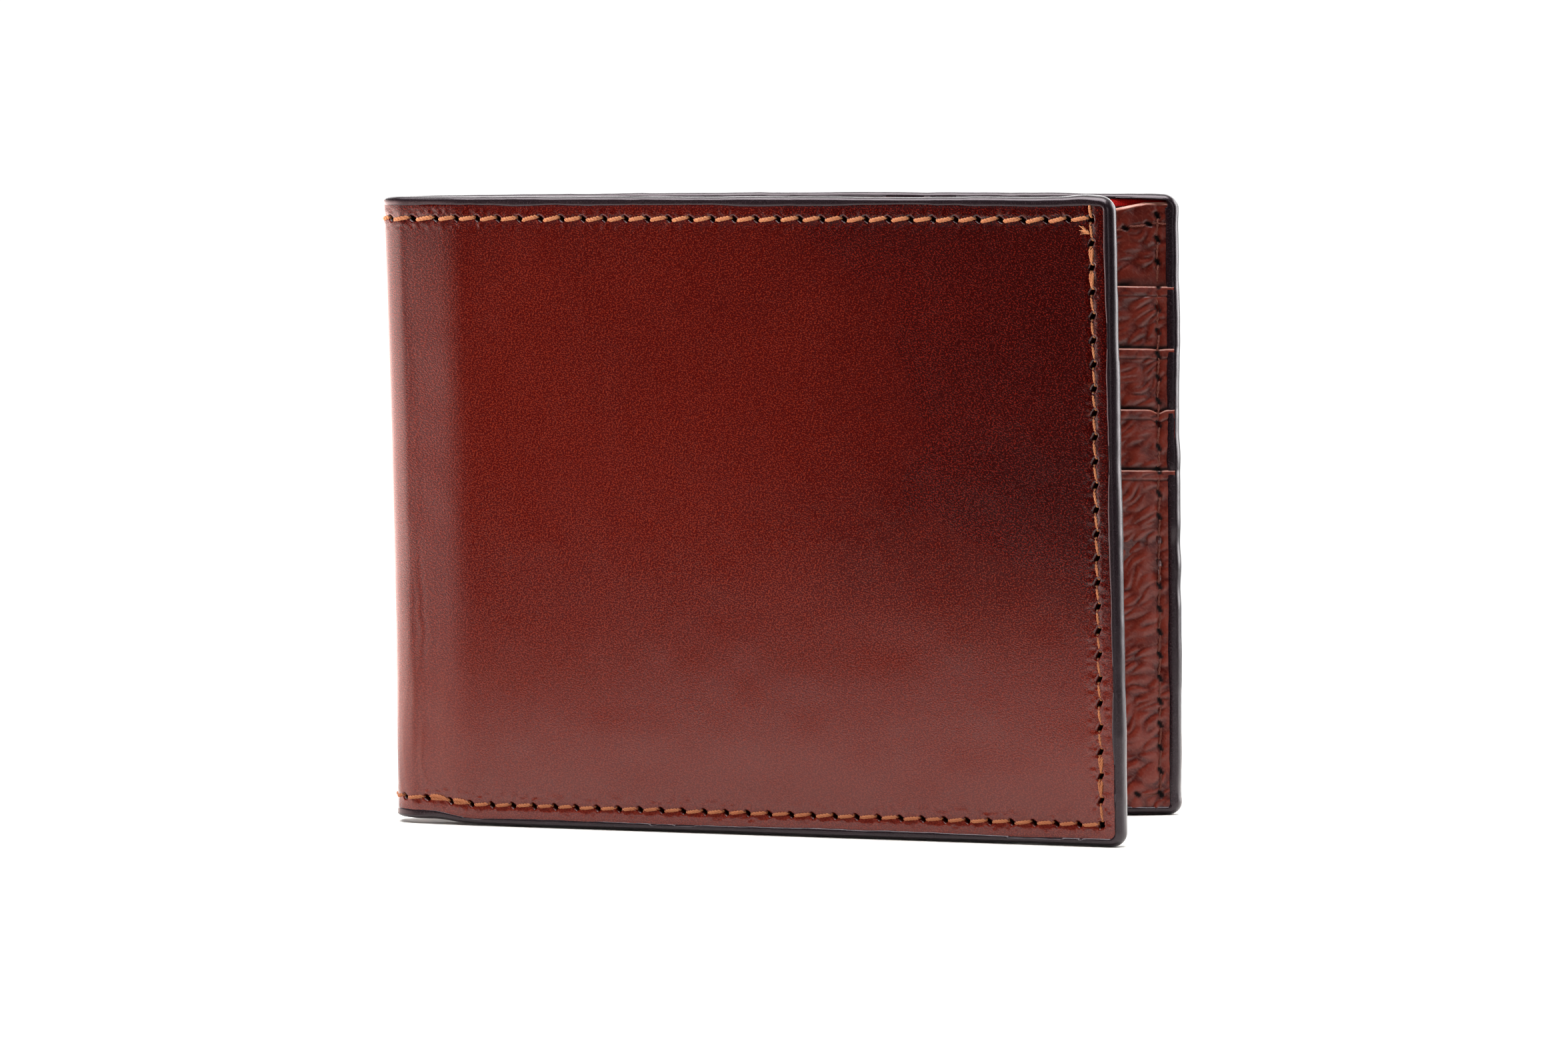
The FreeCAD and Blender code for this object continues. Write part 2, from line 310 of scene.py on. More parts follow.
def sheet_object(name, half, material, us, zs, is_fine, face_n, cap_n, warp=None, paint=None):
    """A closed sheet as an object, with (u, z) as its UV map and paint(u, z) as its attributes."""
    u, n, z, faces, count = sheet_mesh(us, zs, is_fine, face_n, cap_n, warp)
    points = half.place(u, n, z)
    attributes = {}
    for key, values in (paint(u[:count], z[:count]) if paint else {}).items():
        attributes[key] = np.concatenate([values, np.zeros(len(u) - count)])
    uv = np.stack([u * half.sign, z], -1)
    return make_object(name, points, faces, material, uv, attributes)


# ---- seams, as rows of needle holes
ROW_STITCHES = 33
COLUMN_STITCHES = 25
POCKET_STITCHES = 23
ROW_PITCH = U_SEAM / (ROW_STITCHES + 0.5)     # one more stitch lies across the spine's middle
COLUMN_PITCH = (HEIGHT - 2 * SEAM_MARGIN) / COLUMN_STITCHES


def slits(u, z, half_u, half_z):
    """Needle slits: each runs from its middle by the half lengths, both ways."""
    return np.stack(np.broadcast_arrays(u, z, half_u, half_z), -1)


ROW_SLIT = (0.20, -0.16)      # rows: the slit falls away from the spine, the stitches rise
COLUMN_SLIT = (0.15, 0.27)    # outer side of the columns
INNER_SLIT = (-0.15, 0.30)    # inner side of the columns


def row_holes(z):
    """Holes of a seam along the leather, from the spine to the outer end."""
    return slits(ROW_PITCH * (np.arange(ROW_STITCHES + 1) + 0.5), z, *ROW_SLIT)


def column_holes(u, stitches, slit):
    """Holes of an upright seam, from the bottom row up."""
    return slits(u, SEAM_MARGIN + COLUMN_PITCH * np.arange(stitches + 1), *slit)


TOP_ROW = row_holes(HEIGHT - SEAM_MARGIN)
BOTTOM_ROW = row_holes(SEAM_MARGIN)
COLUMN = column_holes(U_SEAM, COLUMN_STITCHES, COLUMN_SLIT)
OUTER_HOLES = np.concatenate([TOP_ROW, BOTTOM_ROW, COLUMN])


def near_slits(u, z, holes, reach=2.4):
    """For each point: distance to the nearest slit, distance and angle to its middle, and its number."""
    best = np.full(len(u), reach)
    centre = np.full(len(u), 99.0)
    angle = np.zeros(len(u))
    number = np.zeros(len(u), int)
    for k, (hole_u, hole_z, half_u, half_z) in enumerate(holes):
        near = np.nonzero((abs(u - hole_u) < reach) & (abs(z - hole_z) < reach))[0]
        du, dz = u[near] - hole_u, z[near] - hole_z
        t = np.clip((du * half_u + dz * half_z) / (half_u ** 2 + half_z ** 2), -1, 1)
        distance = np.hypot(du - t * half_u, dz - t * half_z)
        closer = distance < best[near]
        chosen = near[closer]
        best[chosen] = distance[closer]
        centre[chosen] = np.hypot(du, dz)[closer]
        angle[chosen] = np.arctan2(dz, du)[closer]
        number[chosen] = k
    return best, centre, angle, number


def crease_pattern(u, z, centre, angle, number):
    """Short uneven creases that run out of the needle holes, from -1 to 1."""
    turned = angle + number * 2.4
    rays = np.cos(6 * turned + 2.2 * np.sin(2 * turned + 1.7 * number) + 1.5 * smooth_noise(u, z, 0.7, 27))
    some = ease(-0.3, 0.5, smooth_noise(u, z, 0.8, 26))
    return rays * some * np.exp(-((centre - 0.80) / 0.42) ** 2)


def hole_relief(u, z, holes, radius=0.29, depth=0.5):
    """The leather's relief round needle slits, how dark the slits are painted as shade, and their creases'
    pattern.
    """
    distance, centre, angle, number = near_slits(u, z, holes)
    hole = np.exp(-(distance / radius) ** 4)
    spokes = crease_pattern(u, z, centre, angle, number)
    lip = 0.04 * np.exp(-((distance - 0.42) / 0.16) ** 2)
    dark = np.exp(-(distance / (radius + 0.03)) ** 6)
    return lip + 0.02 * spokes - depth * hole, dark, spokes


def seam_distance(u, z):
    """Distance to the outer seam's line."""
    to_rows = np.minimum(abs(z - SEAM_MARGIN), abs(z - (HEIGHT - SEAM_MARGIN)))
    to_rows = np.where(u <= U_SEAM, to_rows, np.hypot(to_rows, u - U_SEAM))
    return np.minimum(to_rows, np.hypot(u - U_SEAM, np.maximum(SEAM_MARGIN - z, 0)))


# ---- twisted thread
def tube_faces(rings, sides):
    """Quads between rings of points, and a cap at each end."""
    faces = []
    for low in range(0, (rings - 1) * sides, sides):
        for m in range(sides):
            a, b = low + m, low + (m + 1) % sides
            faces.append([a, b, b + sides, a + sides])
    faces.append(list(range(sides))[::-1])
    faces.append([(rings - 1) * sides + m for m in range(sides)])
    return faces


def tube(path, radius, sides):
    """A closed tube round a path of (u, n, z) points."""
    tangent = np.gradient(path, axis=0)
    tangent /= np.linalg.norm(tangent, axis=1)[:, None]
    reference = np.array([0.0, 1.0, 0.0])
    side = np.cross(tangent, reference)
    side /= np.maximum(np.linalg.norm(side, axis=1), 1e-6)[:, None]
    up = np.cross(side, tangent)
    angle = np.linspace(0, 2 * math.pi, sides, endpoint=False)
    ring = np.cos(angle)[None, :, None] * side[:, None] + np.sin(angle)[None, :, None] * up[:, None]
    radius = np.broadcast_to(radius, len(path))[:, None, None]
    return (path[:, None] + radius * ring).reshape(-1, 3), tube_faces(len(path), sides)


TWIST = 1.35                  # length of one turn of the thread's strands
STITCH_SINK = 0.55            # how far a stitch's ends go down into its holes


class ThreadRun:
    """Collects stitches in one half's coordinates and makes one object of them."""

    def __init__(self, name, half, material, radius=0.31, strands=3, samples=22, sides=7):
        self.name, self.half, self.material = name, half, material
        self.radius, self.strands, self.samples, self.sides = radius, strands, samples, sides
        self.points, self.faces, self.count = [], [], 0

    def add(self, path, radius, sides=None):
        points, faces = tube(path, radius, sides or self.sides)
        self.points.append(points)
        self.faces += [[v + self.count for v in face] for face in faces]
        self.count += len(points)

    def stitch(self, start, end, level, slant=0.2, gap=0.36, height=0.05, shift=0.0, phase=0.0, outward=1):
        """One stitch from hole to hole. level is the leather's n at the two holes."""
        start, end = np.array(start[:2], float), np.array(end[:2], float)
        span = np.linalg.norm(end - start)
        along = (end - start) / span
        uneven = hashed(start[0], start[1], 7) - 0.5, hashed(start[1], start[0], 8) - 0.5
        slant, shift = slant * (1 + 0.5 * uneven[0]), shift + 0.12 * uneven[1]
        across = np.array([-along[1], along[0]])
        even = np.linspace(0, 1, self.samples)
        t = 0.6 * (0.5 - 0.5 * np.cos(math.pi * even)) + 0.4 * even
        distance = gap + (span - 2 * gap) * t
        arch = np.sin(math.pi * t) ** 0.3
        sideways = slant * (2 * t - 1) + shift * np.sin(math.pi * t) ** 0.5
        centre = start + distance[:, None] * along + sideways[:, None] * across
        n = level[0] + (level[1] - level[0]) * t + outward * (height * arch - STITCH_SINK * (1 - arch))
        core = np.stack([centre[:, 0], n, centre[:, 1]], -1)
        strand_radius = self.radius * 0.50
        spread = self.radius - strand_radius
        twist = 2 * math.pi * distance / TWIST
        for k in range(self.strands):
            angle = twist + phase + 2 * math.pi * k / self.strands
            offset = spread * (np.cos(angle)[:, None] * np.array([across[0], 0, across[1]])
                               + np.sin(angle)[:, None] * np.array([0, 1.0, 0]))
            self.add(core + offset, strand_radius)

    def make(self, *replaced):
        local = np.concatenate(self.points)
        points = self.half.place(local[:, 0], local[:, 1], local[:, 2])
        uv = np.stack([local[:, 0] * self.half.sign, local[:, 2]], -1)
        obj = make_object(self.name, points, self.faces, self.material, uv)
        if replaced:
            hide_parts(*replaced)
        return obj


# ---- materials
class Nodes:
    """A short way to write a node tree."""

    def __init__(self, tree):
        self.tree = tree

    def add(self, kind, inputs, settings=None):
        node = self.tree.nodes.new(kind)
        for key, value in (settings or {}).items():
            setattr(node, key, value)
        for key, value in inputs.items():
            self.set(node.inputs[key], value)
        return node

    def set(self, socket, value):
        if isinstance(value, bpy.types.NodeSocket):
            self.tree.links.new(value, socket)
        else:
            socket.default_value = value

    def ramp(self, value, low, high, to_low=0.0, to_high=1.0):
        inputs = {"Value": value, "From Min": low, "From Max": high, "To Min": to_low, "To Max": to_high}
        return self.add("ShaderNodeMapRange", inputs, {"interpolation_type": "SMOOTHSTEP"}).outputs["Result"]

    def maths(self, operation, a, b=0.0):
        return self.add("ShaderNodeMath", {0: a, 1: b}, {"operation": operation}).outputs[0]

    def plus(self, a, b):
        return self.maths("ADD", a, b)

    def minus(self, a, b):
        return self.maths("SUBTRACT", a, b)

    def times(self, a, b):
        return self.maths("MULTIPLY", a, b)


class MaterialNodes(Nodes):
    """A material's node tree, on the mesh's own UV map."""

    def __init__(self, name):
        self.material = bpy.data.materials.new(name)
        self.material.use_nodes = True
        super().__init__(self.material.node_tree)
        self.shader = self.tree.nodes["Principled BSDF"]
        self.uv = self.add("ShaderNodeUVMap", {}, {"uv_map": "Leather"}).outputs["UV"]

    def noise(self, scale, detail=2.0, roughness=0.5, distortion=0.0, vector=None):
        inputs = {"Vector": vector or self.uv, "Scale": scale, "Detail": detail,
                  "Roughness": roughness, "Distortion": distortion}
        return self.add("ShaderNodeTexNoise", inputs, {"noise_dimensions": "2D"}).outputs["Fac"]

    def mix(self, factor, a, b):
        node = self.add("ShaderNodeMix", {}, {"data_type": "RGBA"})
        colours = [socket for socket in node.inputs if socket.type == "RGBA"]
        self.set(node.inputs[0], factor)
        for socket, value in zip(colours, (a, b)):
            self.set(socket, value if isinstance(value, bpy.types.NodeSocket) else (*value, 1.0))
        return [socket for socket in node.outputs if socket.type == "RGBA"][0]

    def attribute(self, name):
        return self.add("ShaderNodeAttribute", {}, {"attribute_name": name}).outputs["Fac"]

    def stretched(self, angle, stretch_x, stretch_y):
        settings = {"vector_type": "TEXTURE"}
        inputs = {"Vector": self.uv, "Rotation": (0.0, 0.0, angle), "Scale": (stretch_x, stretch_y, 1.0)}
        return self.add("ShaderNodeMapping", inputs, settings).outputs["Vector"]

    def bump(self, height, strength, distance):
        inputs = {"Height": height, "Strength": strength, "Distance": distance}
        return self.add("ShaderNodeBump", inputs).outputs["Normal"]

    def finish(self, **sockets):
        for key, value in sockets.items():
            socket = self.shader.inputs[key.replace("_", " ")]
            if isinstance(value, tuple) and len(value) == 3:
                value = (*value, 1.0)
            self.set(socket, value)
        return self.material


# Painted shade: the colour of the needle holes, black for the darkness inside them.
PAINTED_HOLE_SHADE = (0.0006, 0.0002, 0.0002)


def outer_leather():
    """Polished calf, hand-stained deep red, darker towards the top and the outer end: partly its dye, partly
    painted shade.
    Paler at the foot, a painted reflection of the lit table. The crowns of its fine wormy grain are lighter
    than the valleys: partly rubbed wear, partly a painted highlight on the crests."""
    m = MaterialNodes("outer_leather")
    place = m.add("ShaderNodeSeparateXYZ", {"Vector": m.uv}).outputs
    height = m.maths("DIVIDE", m.minus(place["Y"], 0.28), 0.85)
    lower = m.ramp(place["Y"], 0.05, 0.50, 0.25, 1.0)
    length = m.maths("DIVIDE", m.minus(m.maths("ABSOLUTE", place["X"]), 0.36), 0.72)
    length = m.times(length, lower)
    squares = m.plus(m.times(height, height), m.times(length, length))
    drift = m.times(m.minus(m.noise(3.2, 3.0, 0.55), 0.5), 0.5)
    reach = m.plus(m.maths("POWER", squares, 0.5), drift)
    # Darker towards the top and the outer end: partly the leather's dye, partly painted shade; fewer light
    # crowns there.
    dye_and_shade = m.ramp(reach, 0.30, 1.15)
    # Painted reflection: paler towards the foot, where the lit table would be reflected. The grain's relief
    # is flattened there too.
    foot = m.ramp(place["Y"], 0.08, 0.36, 0.75, 0.0)
    grain = m.noise(660.0, 1.0, 0.4, 0.4, m.stretched(-0.35, 1.7, 1.0))
    crowns = m.ramp(m.minus(grain, m.times(dye_and_shade, 0.09)), 0.48, 0.60)
    # The valleys' colour: darker by dye and painted shade, paler at the foot by the painted reflection.
    base = m.mix(dye_and_shade, (0.054, 0.0007, 0.0003), (0.023, 0.0002, 0.0001))
    base = m.mix(foot, base, (0.108, 0.0078, 0.0032))
    # The crowns' colour: partly rubbed wear, partly a painted highlight on the crests. It is also paler at
    # the foot by the painted reflection.
    rubbed_and_highlit = m.mix(dye_and_shade, (0.150, 0.0130, 0.0058), (0.110, 0.0075, 0.0038))
    rubbed_and_highlit = m.mix(foot, rubbed_and_highlit, (0.162, 0.0180, 0.0078))
    colour = m.mix(crowns, base, rubbed_and_highlit)
    # Lighter on the creases round the needle holes and on the fold's wrinkles: partly creased wear, partly a
    # painted highlight.
    colour = m.mix(m.times(m.attribute("wrinkle"), 0.3), colour, (0.24, 0.065, 0.040))
    # Painted shade: the needle holes are black.
    colour = m.mix(m.attribute("dark"), colour, PAINTED_HOLE_SHADE)
    relief = m.times(grain, m.minus(1.0, m.times(foot, 0.65)))
    polish = m.minus(1.0, m.attribute("dark"))
    return m.finish(Base_Color=colour, Roughness=0.6, Normal=m.bump(relief, 1.0, 0.000105),
                    Specular_IOR_Level=0.0, Coat_Weight=m.times(polish, 0.85),
                    Coat_Roughness=0.17, Coat_Normal=m.bump(relief, 1.0, 0.000016))


def inner_leather():
    """Milled leather: the pebbles are in the mesh; the fine grain, a painted highlight on the crowns and
    painted shade in the creases are here.
    """
    m = MaterialNodes("inner_leather")
    grain = m.noise(330.0, 2.0, 0.55, 0.3, m.stretched(0.7, 1.8, 1.0))
    cloud = m.noise(42.0, 3.0, 0.6)
    # Painted highlight and shade: lighter on the pebbles' crowns, darker in their creases, patchy by the
    # cloud noise.
    crown = m.times(m.attribute("crown"), m.ramp(cloud, 0.25, 0.65, 0.6, 1.0))
    colour = m.mix(crown, (0.046, 0.0014, 0.0006), (0.150, 0.0200, 0.0110))
    colour = m.mix(m.times(m.ramp(grain, 0.48, 0.66), 0.30), colour, (0.17, 0.045, 0.030))
    colour = m.mix(m.attribute("raw"), colour, (0.50, 0.22, 0.165))
    # Painted shade: black in the needle holes, and the painted shadows and crease shade that the pieces carry
    # in 'dark'.
    colour = m.mix(m.attribute("dark"), colour, PAINTED_HOLE_SHADE)
    rough = m.ramp(m.attribute("dark"), 0.0, 1.0, 0.30, 1.0)
    return m.finish(Base_Color=colour, Roughness=rough, Normal=m.bump(grain, 0.8, 0.000045),
                    Specular_IOR_Level=0.30)


def red_lining():
    """Fine woven lining cloth."""
    m = MaterialNodes("red_lining")
    bands = []
    for direction in ("X", "Y"):
        settings = {"wave_type": "BANDS", "bands_direction": direction}
        inputs = {"Vector": m.uv, "Scale": 90.0, "Distortion": 0.4}
        bands.append(m.add("ShaderNodeTexWave", inputs, settings).outputs["Fac"])
    weave = m.times(*bands)
    colour = m.mix(m.ramp(weave, 0.0, 0.7), (0.36, 0.0015, 0.0015), (0.62, 0.004, 0.004))
    colour = m.mix(m.ramp(m.noise(9.0), 0.3, 0.7, 0.0, 0.2), colour, (0.40, 0.002, 0.002))
    return m.finish(Base_Color=colour, Roughness=0.82, Normal=m.bump(weave, 0.35, 0.00005),
                    Specular_IOR_Level=0.2)


def edge_paint():
    """Thick dark edge paint, glossy, slightly rippled and speckled as a hand-painted coat is."""
    m = MaterialNodes("edge_paint")
    ripple = m.noise(30.0, 2.0, 0.5)
    speck = m.noise(420.0, 2.0, 0.6)
    colour = m.mix(m.ramp(speck, 0.52, 0.75), (0.0075, 0.0036, 0.0055), (0.024, 0.015, 0.019))
    height = m.plus(m.times(ripple, 6.0), m.times(speck, 0.25))
    return m.finish(Base_Color=colour, Roughness=0.27, Normal=m.bump(height, 0.5, 0.00001),
                    Specular_IOR_Level=0.42, Specular_Tint=(1.0, 0.86, 0.92))


def thread(name, light, dark):
    """Waxed twisted thread, darker low down and in patches."""
    m = MaterialNodes(name)
    fibre = m.noise(700.0, 2.0, 0.6, 0.6)
    tone = m.noise(12.0, 2.0)
    up = m.add("ShaderNodeSeparateXYZ", {"Vector": m.uv}).outputs["Y"]
    # Darker towards the bottom and in random patches.
    darker_low_and_patchy = m.plus(m.ramp(up, 0.02, 0.80, 0.75, 0.0), m.ramp(tone, 0.35, 0.7, 0.0, 0.25))
    colour = m.mix(m.ramp(fibre, 0.3, 0.7), dark, light)
    colour = m.mix(darker_low_and_patchy, colour, dark)
    return m.finish(Base_Color=colour, Roughness=0.62, Normal=m.bump(fibre, 0.5, 0.00004),
                    Specular_IOR_Level=0.3)


OUTER_LEATHER = outer_leather()
INNER_LEATHER = inner_leather()
RED_LINING = red_lining()
EDGE_PAINT = edge_paint()
TAN_THREAD = thread("tan_thread", (0.62, 0.27, 0.120), (0.34, 0.11, 0.042))
BROWN_THREAD = thread("brown_thread", (0.24, 0.075, 0.05), (0.10, 0.022, 0.013))
FRAYED_THREAD = thread("frayed_thread", (0.85, 0.45, 0.22), (0.55, 0.20, 0.07))


# ---- the cover and its lining
EDGE = 0.80                   # the leather stops this far inside the painted edge
CLOTH_EDGE = 0.9              # and the cloth stops this far inside
CLOTH_LENGTH = U_END - CLOTH_EDGE
CLOTH_BELOW_TOP = 0.75        # the cover's cloth stops this far below the top
SEAM_BAND = 1.7               # the cover is finely meshed this far from a seam
COVER_STEP = 0.17             # mesh sizes
INNER_STEP = 0.235


def cover_needs_detail(u, z):
    """Along the outer seam and at the fold."""
    near_row = np.minimum(abs(z - SEAM_MARGIN), abs(z - HEIGHT + SEAM_MARGIN)) < SEAM_BAND
    return near_row | (abs(u - U_SEAM) < SEAM_BAND) | (u < BEND_END + 2)


def fold_wrinkles(u, z):
    """Fine upright creases where the leather bends, and how strong they are: strongest low down."""
    drift = u + 0.8 * smooth_noise(u * 0.3, z, 9, 21) + 0.25 * smooth_noise(u, z, 2.5, 22)
    lines = smooth_noise(drift, z * 0.06, 0.55, 23)
    where = ease(1.5, 4.5, u) * (1 - ease(7.5, 15, u)) * (1.1 - 0.85 * ease(8, 50, z))
    return lines, where


def cover_face(u, z):
    edge = np.minimum(np.minimum(z, HEIGHT - z), U_END - u)
    relief, _, _ = hole_relief(u, z, OUTER_HOLES)
    lines, where = fold_wrinkles(u, z)
    seam = seam_distance(u, z)
    puckers = 0.03 * smooth_noise(u, z, 0.55, 25) * bump(seam, 0.9, 0.8)
    return (COVER + relief - 0.10 * bump(seam, 0, 0.5) - 0.12 * bump(edge, 0, 0.9)
            + 0.045 * smooth_noise(u, z, 15, 3) + 0.02 * smooth_noise(u, z, 4.5, 4)
            + puckers + 0.014 * lines * where)


def cover_paint(u, z):
    _, dark, spokes = hole_relief(u, z, OUTER_HOLES)
    rays = np.clip(spokes, 0, 1) ** 2
    lines, where = fold_wrinkles(u, z)
    return {"dark": dark, "wrinkle": np.clip(0.7 * rays + np.clip(lines, 0, 1) * where * 0.4, 0, 1)}


def across_fold(obj):
    """The piece is already bent round the fold; this bakes its placement into its mesh."""
    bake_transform(obj)


def make_cover(half):
    us, zs = spaced(0, U_END - EDGE, COVER_STEP), spaced(EDGE, HEIGHT - EDGE, COVER_STEP)
    warp = round_corners(CORNER_RADIUS - EDGE, U_END - EDGE, EDGE, HEIGHT - EDGE)
    obj = sheet_object(half.side + "_cover_leather", half, OUTER_LEATHER, us, zs, cover_needs_detail,
                       cover_face, lambda u, z: 0 * u + 0.01, warp, cover_paint)
    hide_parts(half.side + "_cover", *(["spine_cover"] if half is FRONT else []))
    across_fold(obj)


def make_cloth(half, name, layer, top, face_n, cap_n, warp):
    """Red cloth on the inside of a layer, from the middle of the spine to the painted edge."""
    us, zs = spaced(0, CLOTH_LENGTH, 0.9), spaced(CLOTH_EDGE, top, 1.2)
    obj = sheet_object(half.side + name, half, RED_LINING, us, zs, lambda u, z: u >= 0, face_n, cap_n, warp)
    spine = ["spine_%s_lining" % layer] if half is FRONT else []
    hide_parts("%s_%s_lining" % (half.side, layer), *spine)
    across_fold(obj)


def make_lining(half):
    top = HEIGHT - CLOTH_BELOW_TOP
    warp = round_corners(CORNER_RADIUS - CLOTH_EDGE, CLOTH_LENGTH, CLOTH_EDGE, top)
    make_cloth(half, "_compartment_lining", "cover", top,
               lambda u, z: -LINING - 0.03 * smooth_noise(u, z, 6, 31), lambda u, z: 0 * u - 0.005, warp)


# ---- the divider
DIVIDER_END_TOP = 87.8
DIVIDER_LEVEL_TOP = 83.4
SLOPE_START = 4.7             # the slope of its top edge, measured from the outer end
SLOPE_END = 24.5
INNER_HOLE = 0.33             # radius of the inner seams' needle holes


def open_gap(u, z):
    """The note compartment's mouth stands a little open between its ends."""
    window = ease(16, 45, u) * (1 - ease(U_END - 32, U_END - 6, u))
    return 0.6 * ease(60, 84, z) * window


def divider_top(u):
    """Height of the divider's top edge: high at the outer end, then a slope, then level."""
    slope_u = U_END - SLOPE_END
    run = np.clip((np.asarray(u, float) - slope_u) / (SLOPE_END - SLOPE_START), -1, 1)
    eased = np.where(run > 0.2, run, np.where(run > -0.2, (run + 0.2) ** 2 / 0.8, 0))
    return DIVIDER_LEVEL_TOP + (DIVIDER_END_TOP - DIVIDER_LEVEL_TOP) * eased


def under_top(z_low, z_high, corner_z, top_of):
    """Moves lattice points so that the top row follows top_of(u) and the bottom corner is round."""
    no_corner = 999
    corners = round_corners(CORNER_RADIUS - EDGE, U_END - EDGE, corner_z, no_corner)

    def warp(u, z):
        share = (z - z_low) / (z_high - z_low)
        u, z = corners(u, z)
        return u, np.where(share > 0.5, z + (top_of(u) - z_high) * (2 * share - 1), z)
    return warp


def divider_row_holes():
    """The seam below the divider's top edge."""
    u = np.arange(U_END - 1.0, U_FOLD + DIVIDER_START + 1.5, -ROW_PITCH)
    return slits(u, divider_top(u) - SEAM_MARGIN, 0.22, -0.10)


DIVIDER_ROW = divider_row_holes()
POCKET_COLUMN = column_holes(U_FOLD + POCKET_SEAM, POCKET_STITCHES, INNER_SLIT)
INNER_COLUMN = column_holes(U_SEAM, COLUMN_STITCHES, INNER_SLIT)
INNER_ROW = BOTTOM_ROW[BOTTOM_ROW[:, 0] > U_FOLD + POCKET_SEAM + 1.5]
INNER_HOLES = np.concatenate([INNER_COLUMN, INNER_ROW, POCKET_COLUMN])
DIVIDER_HOLES = np.concatenate([DIVIDER_ROW, INNER_COLUMN])


def pebbles(u, z):
    """0 in the creases between the milled leather's slanting pebbles, up to 1 on their crowns."""
    along, across = 0.88 * u + 0.47 * z, 0.88 * z - 0.47 * u
    bent = across + 1.0 * smooth_noise(along, across, 3.2, 45)
    creases = 1 - ease(0.0, 0.75, cell_edges(along / 2.9, bent, 1.20, 41))
    depth = 0.65 + 0.35 * smooth_noise(u, z, 1.4, 46)
    return 1 - depth * creases


def milled(u, z):
    """Relief of the milled leather: slanting pebbles with creases between them, on soft folds."""
    folds = smooth_noise((0.88 * u + 0.47 * z) / 2.0, 0.88 * z - 0.47 * u, 1.5, 43)
    flattened = 1 - 0.9 * ease(U_END - 3.2, U_END - 1.6, u)
    return (0.30 * pebbles(u, z) + 0.12 * folds - 0.28) * flattened


def crown_share(u, z):
    """1 on the crowns of the milled pebbles, 0 in their creases."""
    return ease(0.05, 0.75, pebbles(u, z))


def pressed(u):
    """How far the stack is pressed together at the painted outer end."""
    return 1 - 0.42 * ease(U_END - 6, U_END - 1.5, u)


def divider_face(u, z):
    relief, _, _ = hole_relief(u, z, DIVIDER_HOLES, INNER_HOLE)
    groove = 0.12 * (bump(divider_top(u) - z, SEAM_MARGIN, 0.35) + bump(u, U_SEAM, 0.35))
    bevel = 0.32 * bump(divider_top(u) - z, 0, 0.22)
    return (-2 * LINING - DIVIDER * (1 - 0.2 * (1 - pressed(u))) - open_gap(u, z)
            - milled(u, z) - relief + groove + bevel)


def divider_paint(u, z):
    _, dark, _ = hole_relief(u, z, DIVIDER_HOLES, INNER_HOLE)
    below = divider_top(u) - z
    # Painted shadow on the divider just above the top pocket's edge, where the pocket stands off it.
    shade = bump(z, pocket_edge(0, u) + 0.20, 0.36)
    return {"raw": 1 - ease(0.30, 0.42, below), "dark": np.clip(dark + shade, 0, 1),
            # Painted shade: the divider's crowns are dimmed for its recessed place.
            "crown": 0.7 * crown_share(u, z)}


def edge_spaced(low, high, step, edge, cells):
    """Lattice lines that crowd together over the last stretch below the top edge."""
    body = spaced(low, high - edge, step)
    return np.concatenate([body, np.linspace(high - edge, high, cells + 1)[1:]])


def make_divider(half):
    top = DIVIDER_LEVEL_TOP
    us = spaced(U_FOLD + DIVIDER_START, U_END - EDGE, INNER_STEP)
    zs = edge_spaced(EDGE, top, 0.21, 0.9, 8)

    def detail(u, z):
        return z > POCKET_TOPS[0] - 1.0

    obj = sheet_object(half.side + "_divider_leather", half, INNER_LEATHER, us, zs, detail, divider_face,
                       lambda u, z: 0 * u - 2 * LINING - open_gap(u, z),
                       under_top(EDGE, top, EDGE, divider_top), divider_paint)
    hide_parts(half.side + "_divider")
    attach(obj, half.body)

    drop = 0.3
    cloth_top = top - drop
    make_cloth(half, "_divider_cloth", "divider", cloth_top,
               lambda u, z: 0 * u - LINING - 0.04 - open_gap(u, z),
               lambda u, z: 0 * u - 2 * LINING - open_gap(u, z),
               under_top(CLOTH_EDGE, cloth_top, CLOTH_EDGE, lambda u: divider_top(u) - drop))


# ---- card pockets
POCKET_PINCH = (0.0, 0.12, 0.5, 0.1)       # how far the seam pulls each pocket's edge down


def pocket_level(index, z):
    """How far a pocket's visible side stands out from the divider."""
    lower = POCKET_STEP_OUT * index
    if index == 0:
        return 0 * z + lower + POCKET
    lap = POCKET_TOPS[index - 1] - STRIP_HEIGHT
    upper = POCKET_STEP_OUT * (index - 1) + POCKET
    return lower + (upper - lower) * ease(lap - 2.5, lap + 0.8, z) + POCKET


def pocket_edge(index, u):
    """Height of a pocket's top edge, pulled down a little at the seam."""
    sag = 0.12 * smooth_noise(u, 0 * u + index, 17, 51)
    return POCKET_TOPS[index] + sag - POCKET_PINCH[index] * bump(u, U_SEAM, 0.8)


def pocket_lift(index, u, z):
    """The mouth of a pocket gapes slightly between its seams."""
    from_seams = (1 - bump(np.minimum(u, U_SEAM) - U_SEAM, 0, 3.2)) * (1 - bump(u - U_FOLD, POCKET_SEAM, 3.2))
    beyond = (u > U_SEAM) * 0.25
    return 0.30 * np.exp(-np.maximum(POCKET_TOPS[index] - z, 0) / 3.5) * np.maximum(from_seams, beyond)


def pocket_body(index, u, z):
    """n of a pocket's visible side, before its relief."""
    return (DIVIDER_FACE + 0.1 * (1 - pressed(u)) - pocket_level(index, z) * pressed(u)
            - pocket_lift(index, u, z) - open_gap(u, z))


